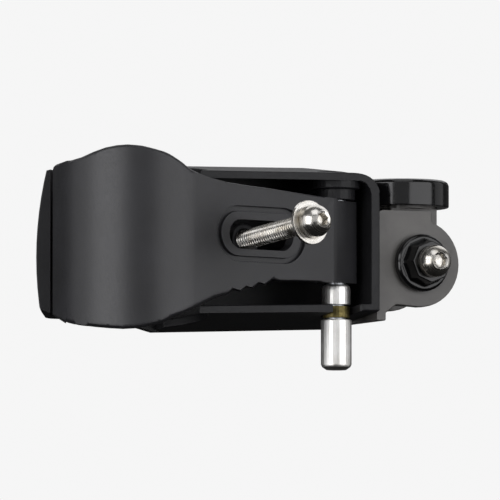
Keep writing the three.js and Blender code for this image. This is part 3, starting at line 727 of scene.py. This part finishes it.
def turned(
    name: str, centre: Vector, axis: Vector, rings: Sequence[Ring], finish: bpy.types.Material, sides: int = 48,
) -> bpy.types.Object:
    """Makes a closed mesh from rings round an axis, as a lathe and a thread die leave it.

    Args:
        name: the object's name.
        centre: the point from which the rings are measured, in millimetres.
        axis: the direction of the axis.
        rings: the rings in order along the outline, from one end's middle to the other's.
        finish: the material.
        sides: vertices round each ring.

    Returns:
        The new object.
    """
    along = axis.normalized()
    side = along.orthogonal().normalized()
    other = along.cross(side)
    shell = bmesh.new()
    loops = []
    for ring in rings:
        loop = []
        for number in range(sides):
            angle = math.tau * number / sides
            reach = ring.at(angle)
            spot = centre + along * ring.along + (side * math.cos(angle) + other * math.sin(angle)) * reach
            loop.append(shell.verts.new(spot * MM))
        loops.append(loop)
    for lower, upper in zip(loops, loops[1:]):
        for number in range(sides):
            following = (number + 1) % sides
            shell.faces.new((lower[number], lower[following], upper[following], upper[number]))
    shell.faces.new(list(reversed(loops[0])))
    shell.faces.new(loops[-1])
    bmesh.ops.recalc_face_normals(shell, faces=shell.faces)
    mesh = bpy.data.meshes.new(name)
    shell.to_mesh(mesh)
    shell.free()
    smooth_by_angle(mesh)
    return place_in_scene(name, mesh, finish)


def reach_along(node: str, centre: Vector, axis: Vector) -> tuple[float, float]:
    """How far a CAD node reaches along an axis.

    Args:
        node: the CAD node's name.
        centre: the point to measure from, in millimetres.
        axis: the direction.

    Returns:
        The lowest and the highest place along the axis, in millimetres.
    """
    line = axis.normalized()
    places = [(corner.co / MM - centre).dot(line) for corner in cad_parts[node].data.vertices]
    return min(places), max(places)


@dataclass(frozen=True)
class MetricThread:
    """A coarse metric thread with flat crests and roots."""

    radius: float = 2.0
    pitch: float = 0.7
    depth: float = 0.42
    crest: float = 0.14  # the crest's share of the pitch
    slope: float = 0.6  # the flanks' share of the pitch
    stations: int = 8  # rings for each turn

    def rings(self, start: float, end: float) -> list[Ring]:
        """Rings whose radius follows the helix.

        Args:
            start: where the thread starts along the axis.
            end: where it ends.

        Returns:
            The rings in order from start to end.
        """
        count = max(2, round((end - start) / self.pitch * self.stations))
        places = [start + (end - start) * number / count for number in range(count + 1)]
        return [Ring(place, self.flank(place)) for place in places]

    def flank(self, place: float) -> RadiusAt:
        """The radius round the axis at one place along it."""
        def radius(angle: float) -> float:
            """The thread's radius at an angle."""
            phase = (place / self.pitch - angle / math.tau) % 1.0
            from_crest = abs(phase - 0.5) * 2
            sunk = min(1.0, max(0.0, (from_crest - self.crest) / self.slope))
            return self.radius - self.depth * sunk
        return radius


@dataclass(frozen=True)
class DomedHead:
    """A domed screw head with a hexagonal key recess."""

    radius: float = 3.3
    height: float = 3.9
    dome: float = 2.5
    dome_steps: int = 9
    edge: float = 0.25
    key_radius: float = 1.45
    key_depth: float = 1.9
    key_rim: float = 0.35  # the flat round the key recess
    key_lead: float = 0.18  # the round lead into its hexagon
    lead_top: float = 0.05
    lead_depth: float = 0.2
    drill: float = 0.8  # the drilled point's share of the recess's radius
    drill_step: float = 0.02
    point: float = 0.5

    def hexagon(self, radius: float) -> RadiusAt:
        """The radius of a hexagon at each angle."""
        flat = radius * math.cos(math.pi / 6)
        return lambda angle: flat / math.cos((angle + math.pi / 6) % (math.pi / 3) - math.pi / 6)

    def rings(self, base: float, shank: float) -> list[Ring]:
        """The head's rings from under it to the bottom of its key recess.

        Args:
            base: the place of its underside along the axis.
            shank: the radius of the screw under it.

        Returns:
            The rings in order.
        """
        top = base + self.height
        shoulder = top - self.dome
        rim = self.key_radius + self.key_rim
        last = math.acos(rim / self.radius)
        out = [Ring(base, shank), Ring(base, self.radius - self.edge), Ring(base + self.edge, self.radius)]
        for step in range(self.dome_steps + 1):
            angle = last * step / self.dome_steps
            out.append(Ring(shoulder + self.dome * math.sin(angle) / math.sin(last), self.radius * math.cos(angle)))
        floor = top - self.key_depth
        out.append(Ring(top - self.lead_top, self.key_radius + self.key_lead))
        out.append(Ring(top - self.lead_depth, self.hexagon(self.key_radius)))
        out.append(Ring(floor, self.hexagon(self.key_radius)))
        out.append(Ring(floor - self.drill_step, self.key_radius * self.drill))
        out.append(Ring(floor - self.point, TIP_RADIUS))
        return out


# Sub-assemblies


@dataclass(frozen=True)
class Finishes:
    """Every finish of the bracket, made once."""

    jaw: bpy.types.Material
    rear: bpy.types.Material
    yoke: bpy.types.Material
    gloss: bpy.types.Material
    rubber: bpy.types.Material
    fibre: bpy.types.Material

    @staticmethod
    def build() -> Finishes:
        """Makes the finishes that have no axis of their own."""
        return Finishes(
            jaw=MouldedNylon(name="glass-filled nylon, spark-eroded grain").build(),
            # the rear jaw's nylon is the front jaw's, painted darker and given less sheen as shade on the rear jaw
            rear=MouldedNylon(
                name="glass-filled nylon, spark-eroded, painted shade", dark="1c1c1e", pale="212123", edge_highlight="2c2c2e",
                roughness=(0.4, 0.52), sheen=0.26,
            ).build(),
            yoke=MouldedNylon(
                name="warm grey nylon, satin moulding", dark="5c5a58", pale="666461", edge_highlight="767470",
                roughness=(0.36, 0.5), grain=0.55, grain_depth=0.008, cloud=8.0,
            ).build(),
            gloss=GlossyAbs(name="black abs, polished mould").build(),
            rubber=NitrileRubber(name="nitrile rubber, moulded").build(),
            fibre=PressedFibre(name="friction fibre, pressed").build(),
        )


def nickel(piece: str, centre: Vector, axis: Vector) -> bpy.types.Material:
    """Bright nickel on turned steel: nearly a mirror, a little warm."""
    return TurnedMetal(name=f"nickel-plated steel, {piece}", centre=centre, axis=axis).build()


def satin_nickel(piece: str, centre: Vector, axis: Vector) -> bpy.types.Material:
    """Satin nickel on tumbled steel: pale and soft, it blurs what it mirrors."""
    return TurnedMetal(
        name=f"satin nickel-plated steel, {piece}", bright="f6f5f2", dull="e6e4df", roughness=(0.34, 0.46),
        centre=centre, axis=axis, ring_depth=0.001, stain=4.0,
    ).build()


def zinc(piece: str, centre: Vector, axis: Vector) -> bpy.types.Material:
    """Zinc plate on turned steel: greyer and duller than nickel, with faint blue stains."""
    return TurnedMetal(
        name=f"zinc-plated steel, {piece}", bright="c9ccd0", dull="a3a6a8", roughness=(0.28, 0.42),
        centre=centre, axis=axis, stain=1.6,
    ).build()


def brass(piece: str, centre: Vector, axis: Vector) -> bpy.types.Material:
    """Free-cutting brass that has dulled to olive, with brown patina."""
    return TurnedMetal(
        name=f"brass, dulled, {piece}", bright="786d45", dull="4d452b", roughness=(0.34, 0.5),
        centre=centre, axis=axis, stain=1.2,
    ).build()


def spring_steel(piece: str, centre: Vector, axis: Vector) -> bpy.types.Material:
    """Rolled spring steel, tempered grey and lightly oiled."""
    return TurnedMetal(
        name=f"spring steel, rolled, {piece}", bright="8b8e92", dull="63666a", roughness=(0.3, 0.42),
        centre=centre, axis=axis, stain=2.0,
    ).build()


@dataclass
class Clamp:
    """The rear jaw with its pad and the brass insert for the clamp screw."""

    finishes: Finishes
    screw_centre: Vector
    screw_axis: Vector
    edge: float = 0.3
    pad_edge: float = 0.2
    insert_edge: float = 0.12
    lip_edge: float = 1.2
    lip_top: float = -14.0
    lip_rise: float = 0.0354
    lip_front: float = -8.5
    body: str = "clamp_body"

    def build(self) -> None:
        """Makes and dresses the pieces that the gripped tube carries."""
        jaw = rounded("rear_jaw", self.edge, self.finishes.rear, softer=self.edge_at)
        declared(jaw, self.body, "rear_jaw")
        declared(rounded("rear_pad", self.pad_edge, self.finishes.rubber), self.body, "rear_pad")
        metal = brass("insert", self.screw_centre, self.screw_axis)
        declared(rounded("clamp_insert", self.insert_edge, metal), self.body, "clamp_insert")

    def edge_at(self, place: Vector) -> float:
        """The rounding at a place: the lip under the channel is nearly half round."""
        under = place.z < self.lip_top + self.lip_rise * place.x
        return self.lip_edge if under and place.y < self.lip_front else self.edge


@dataclass
class FrontJaw:
    """The barrel, arm and knuckle in one moulding, with the pad that it presses on the tube."""

    finishes: Finishes
    edge: float = 0.35
    pad_edge: float = 0.2
    barrel_x: float = -3.0
    barrel_radius: float = 18.0
    wall: float = 2.6
    rim_edge: float = 0.9
    rim_radius: float = 17.6
    rim_right: float = 9.0
    slot_edge: float = 0.12
    slot_from: Vector = field(default_factory=lambda: Vector((6.0, -19.0, -5.8)))
    slot_to: Vector = field(default_factory=lambda: Vector((34.0, -4.0, 7.2)))
    body: str = "front_jaw_body"

    def build(self) -> None:
        """Makes and dresses the swinging jaw."""
        skin = [Cylinder(self.barrel_x, 0, reach) for reach in (self.barrel_radius, self.barrel_radius - self.wall)]
        jaw = rounded("front_jaw", self.edge, self.finishes.jaw, softer=self.edge_at, cylinders=skin)
        declared(jaw, self.body, "front_jaw")
        declared(rounded("front_pad", self.pad_edge, self.finishes.rubber), self.body, "front_pad")

    def edge_at(self, place: Vector) -> float:
        """The rounding at a place: soft on the barrel's outer rims and fine round the slot."""
        if all(low < here < high for low, here, high in zip(self.slot_from, place, self.slot_to)):
            return self.slot_edge
        out = math.hypot(place.x - self.barrel_x, place.y)
        return self.rim_edge if out > self.rim_radius and place.x < self.rim_right else self.edge


@dataclass
class ClampScrew:
    """The long domed screw through the slot and the loose washer under its head."""

    centre: Vector
    axis: Vector
    thread: MetricThread = field(default_factory=MetricThread)
    head: DomedHead = field(default_factory=DomedHead)
    tip_edge: float = 0.45
    neck: float = 1.2
    neck_runout: float = 0.1
    neck_sunk: float = 0.12
    washer_edge: float = 0.12

    def build(self) -> None:
        """Makes the screw with its thread and dresses the washer."""
        metal = nickel("clamp screw", self.centre, self.axis)
        low, high = reach_along("clamp_screw", self.centre, self.axis)
        base = high - self.head.height
        shank = self.thread.radius - self.neck_sunk
        rings = [Ring(low, TIP_RADIUS), Ring(low, self.thread.radius - self.tip_edge)]
        rings += self.thread.rings(low + self.tip_edge, base - self.neck)
        rings += [Ring(base - self.neck + self.neck_runout, shank)]
        rings += self.head.rings(base, shank)
        screw = turned("clamp_screw_detailed", self.centre, self.axis, rings, metal)
        declared(screw, "screw_body", "clamp_screw")
        plate = nickel("clamp washer", self.centre, self.axis)
        washer = rounded("screw_washer", self.washer_edge, plate)
        declared(washer, "screw_carriage", "screw_washer")


@dataclass
class Hinge:
    """The bolt, sleeve, bush and barrel nut that the front jaw swings on."""

    centre: Vector
    axis: Vector = field(default_factory=lambda: Vector((0, 0, 1)))
    small_edge: float = 0.12
    nut_edge: float = 0.3
    body: str = "clamp_body"

    def build(self) -> None:
        """Makes and dresses the hinge pieces."""
        bolt = rounded("hinge_bolt", self.small_edge, zinc("hinge bolt", self.centre, self.axis))
        declared(bolt, self.body, "hinge_bolt")
        sleeve = rounded("hinge_spacer", self.small_edge, satin_nickel("hinge sleeve", self.centre, self.axis))
        declared(sleeve, self.body, "hinge_spacer")
        bush = rounded("hinge_bush", self.small_edge, brass("hinge bush", self.centre, self.axis))
        declared(bush, self.body, "hinge_bush")
        nut = rounded("hinge_barrel_nut", self.nut_edge, satin_nickel("barrel nut", self.centre, self.axis))
        declared(nut, self.body, "hinge_barrel_nut")


@dataclass
class Swivel:
    """The fork that turns on the rear jaw's end wall, with its spring washer and retaining ring."""

    finishes: Finishes
    centre: Vector
    axis: Vector = field(default_factory=lambda: Vector((1, 0, 0)))
    edge: float = 0.3
    ring_edge: float = 0.08

    def build(self) -> None:
        """Makes and dresses the swivel."""
        declared(rounded("swivel_yoke", self.edge, self.finishes.yoke), "swivel_body", "swivel_yoke")
        steel = spring_steel("swivel", self.centre, self.axis)
        for node in ("wave_washer", "swivel_retaining_ring"):
            declared(rounded(node, self.ring_edge, steel), "clamp_body", node)


@dataclass
class Socket:
    """The block that holds the rod, its split sleeve and the glossy collar that closes it."""

    finishes: Finishes
    centre: Vector
    edge: float = 0.3
    collar_edge: float = 0.3
    sleeve_edge: float = 0.1
    disc_edge: float = 0.08

    def build(self) -> None:
        """Makes and dresses the tilting socket."""
        upright = Vector((0, 0, 1))
        block = rounded("umbrella_socket", self.edge, self.finishes.yoke)
        declared(block, "socket_body", "umbrella_socket")
        sleeve = rounded("collet", self.sleeve_edge, brass("collet", self.centre, upright))
        declared(sleeve, "socket_body", "collet")
        collar = rounded("collet_nut", self.collar_edge, self.finishes.gloss)
        declared(collar, "collar_body", "collet_nut")
        for node in ("tilt_disc_front", "tilt_disc_rear"):
            disc = rounded(node, self.disc_edge, self.finishes.fibre)
            declared(disc, "socket_body", node)


@dataclass
class TiltAxis:
    """The knob, its domed screw, and the washer and nut behind the rear ear."""

    finishes: Finishes
    centre: Vector
    axis: Vector = field(default_factory=lambda: Vector((0, -1, 0)))
    thread: MetricThread = field(default_factory=MetricThread)
    head: DomedHead = field(default_factory=DomedHead)
    thread_length: float = 9.0
    thread_runout: float = 0.3
    tip_edge: float = 0.45
    knob_edge: float = 0.3
    nut_edge: float = 0.2
    washer_edge: float = 0.1

    def build(self) -> None:
        """Makes and dresses the pieces on the tilt axis."""
        knob = rounded("tilt_knob", self.knob_edge, self.finishes.gloss)
        declared(knob, "knob_body", "tilt_knob")
        low, high = reach_along("tilt_screw", self.centre, self.axis)
        base = high - self.head.height
        metal = nickel("tilt screw", self.centre, self.axis)
        rings = [Ring(low, TIP_RADIUS), Ring(low, self.thread.radius - self.tip_edge)]
        rings += self.thread.rings(low + self.tip_edge, low + self.thread_length)
        rings += [Ring(low + self.thread_length + self.thread_runout, self.thread.radius)]
        rings += self.head.rings(base, self.thread.radius)
        screw = turned("tilt_screw_detailed", self.centre, self.axis, rings, metal)
        declared(screw, "knob_body", "tilt_screw")
        washer = rounded("tilt_washer", self.washer_edge, zinc("tilt washer", self.centre, self.axis))
        declared(washer, "swivel_body", "tilt_washer")
        nut = rounded("tilt_nut", self.nut_edge, zinc("tilt nut", self.centre, self.axis))
        declared(nut, "swivel_body", "tilt_nut")


# Studio


@dataclass
class Softbox:
    """A soft rectangular light, placed round the bracket."""

    name: str
    azimuth: float
    elevation: float
    power: float
    distance: float = 900
    width: float = 480
    height: float = 800
    tint: str = "fdfdff"

    def build(self) -> None:
        """Hangs the light so that it faces the bracket."""
        lamp = bpy.data.lights.new(self.name, "AREA")
        lamp.shape = "RECTANGLE"
        lamp.size, lamp.size_y = self.width * MM, self.height * MM
        lamp.energy = self.power
        lamp.color = linear(self.tint)[:3]
        made = bpy.data.objects.new(self.name, lamp)
        out = direction(self.azimuth, self.elevation)
        made.location = out * self.distance * MM
        made.rotation_euler = out.to_track_quat("Z", "Y").to_euler()
        bpy.context.scene.collection.objects.link(made)


def direction(azimuth: float, elevation: float) -> Vector:
    """The direction from the bracket to a place round it.

    Args:
        azimuth: degrees round the bracket, 0 at the front, -Y, and 90 at +X.
        elevation: degrees above the horizon.

    Returns:
        A unit vector.
    """
    turn, rise = math.radians(azimuth), math.radians(elevation)
    return Vector((math.sin(turn) * math.cos(rise), -math.cos(turn) * math.cos(rise), math.sin(rise)))


@dataclass
class Studio:
    """The camera, lights, sky and floor."""

    azimuth: float = -25.0
    elevation: float = -4.0
    distance: float = 2000.0
    sensor: float = 36.0
    crop_pixels: float = 90.0  # how much of the photograph the picture shows
    pixels_per_mm: float = 0.885
    aim_right: float = 19.4
    aim_up: float = -1.5
    clip_near: float = 50.0
    clip_far: float = 50000.0
    floor_drop: float = 950.0
    floor_radius: float = 6000.0
    floor_sides: int = 96
    backdrop: float = 0.92
    room_low: float = 0.01
    room_high: float = 0.1
    room_span: Span = (-0.5, 0.6)  # the heights between which the room brightens

    def build(self) -> None:
        """Sets up the whole studio."""
        self.camera()
        self.lights()
        self.world()
        self.floor()

    def camera(self) -> None:
        """Puts a long lens at the photograph's angle, framed on the bracket."""
        back = direction(self.azimuth, self.elevation)
        lens = bpy.data.cameras.new("camera")
        lens.sensor_width = self.sensor
        seen = self.crop_pixels / self.pixels_per_mm
        lens.lens = lens.sensor_width * self.distance / seen
        lens.clip_start, lens.clip_end = self.clip_near * MM, self.clip_far * MM
        made = bpy.data.objects.new("camera", lens)
        right = Vector((0, 0, 1)).cross(back).normalized()
        up = back.cross(right)
        target = (right * self.aim_right + up * self.aim_up) * MM
        made.location = target + back * self.distance * MM
        made.rotation_mode = "QUATERNION"
        made.rotation_quaternion = (-back).to_track_quat("-Z", "Y")
        bpy.context.scene.collection.objects.link(made)
        bpy.context.scene.camera = made

    def lights(self) -> None:
        """A wide softbox on each side with a weak one beside it, and one each above, in front and behind."""
        Softbox("left softbox", self.azimuth - 44, 4, 5.2, width=760).build()
        Softbox("far left softbox", self.azimuth - 85, 4, 1.0).build()
        Softbox("right softbox", self.azimuth + 50, 4, 4.4, width=1000).build()
        Softbox("far right softbox", self.azimuth + 105, 4, 0.6).build()
        Softbox("top softbox", self.azimuth + 10, 60, 1.2, width=600, height=600).build()
        Softbox("front softbox", self.azimuth, 12, 0.4, width=600, height=600).build()
        Softbox("back softbox", self.azimuth + 175, 45, 2.6, width=1100).build()

    def world(self) -> None:
        """A pale backdrop round a dim room, as where a bracket hangs in a dark studio before a lit wall."""
        world = bpy.data.worlds.new("studio")
        world.use_nodes = True
        bpy.context.scene.world = world
        bpy.context.scene.view_settings.view_transform = "Standard"
        tree = world.node_tree
        tree.nodes.clear()
        way = add_node(tree, "ShaderNodeTexCoord").outputs["Generated"]
        height = add_node(tree, "ShaderNodeSeparateXYZ", links={"Vector": way})
        low, high = self.room_span
        level = add_node(
            tree, "ShaderNodeMapRange", settings={"interpolation_type": "SMOOTHSTEP"},
            values={"From Min": low, "From Max": high, "To Min": self.room_low, "To Max": self.room_high},
            links={"Value": height.outputs["Z"]},
        )
        room = add_node(tree, "ShaderNodeBackground", links={"Strength": level.outputs["Result"]})
        backdrop = add_node(tree, "ShaderNodeBackground", values={"Strength": self.backdrop})
        for sky in (room, backdrop):
            sky.inputs["Color"].default_value = (1.0, 1.0, 1.0, 1.0)
        seen = add_node(tree, "ShaderNodeLightPath")
        either = add_node(
            tree, "ShaderNodeMixShader",
            links={0: seen.outputs["Is Camera Ray"], 1: room.outputs["Background"], 2: backdrop.outputs["Background"]},
        )
        add_node(tree, "ShaderNodeOutputWorld", links={"Surface": either.outputs["Shader"]})

    def floor(self) -> None:
        """A wide round floor, well below the bracket, which a stand would hold at this height."""
        shell = bmesh.new()
        bmesh.ops.create_circle(shell, cap_ends=True, segments=self.floor_sides, radius=self.floor_radius * MM)
        bmesh.ops.translate(shell, verts=shell.verts, vec=(0, 0, -self.floor_drop * MM))
        mesh = bpy.data.meshes.new("studio_floor")
        shell.to_mesh(mesh)
        shell.free()
        made = place_in_scene("studio_floor", mesh, PaintedFloor(name="floor paint, pale").build())
        made.visible_diffuse = made.visible_glossy = False


def main() -> None:
    """Builds the studio and every sub-assembly in order."""
    logging.basicConfig(level=logging.INFO, format="%(name)s: %(message)s")
    Studio().build()
    finishes = Finishes.build()
    screw_centre = Vector((16.311, -13.833, 0.75))
    screw_axis = Vector((0.234483, -0.965504, 0.113203))
    tilt_centre = Vector((56.6, 1.5, -3.0))
    FrontJaw(finishes).build()
    Clamp(finishes, screw_centre, screw_axis).build()
    ClampScrew(screw_centre, screw_axis).build()
    Hinge(Vector((39, -4, 0))).build()
    Swivel(finishes, Vector((46.6, 1.5, -3.0))).build()
    Socket(finishes, tilt_centre).build()
    TiltAxis(finishes, tilt_centre).build()


if __name__ == "__main__":
    main()
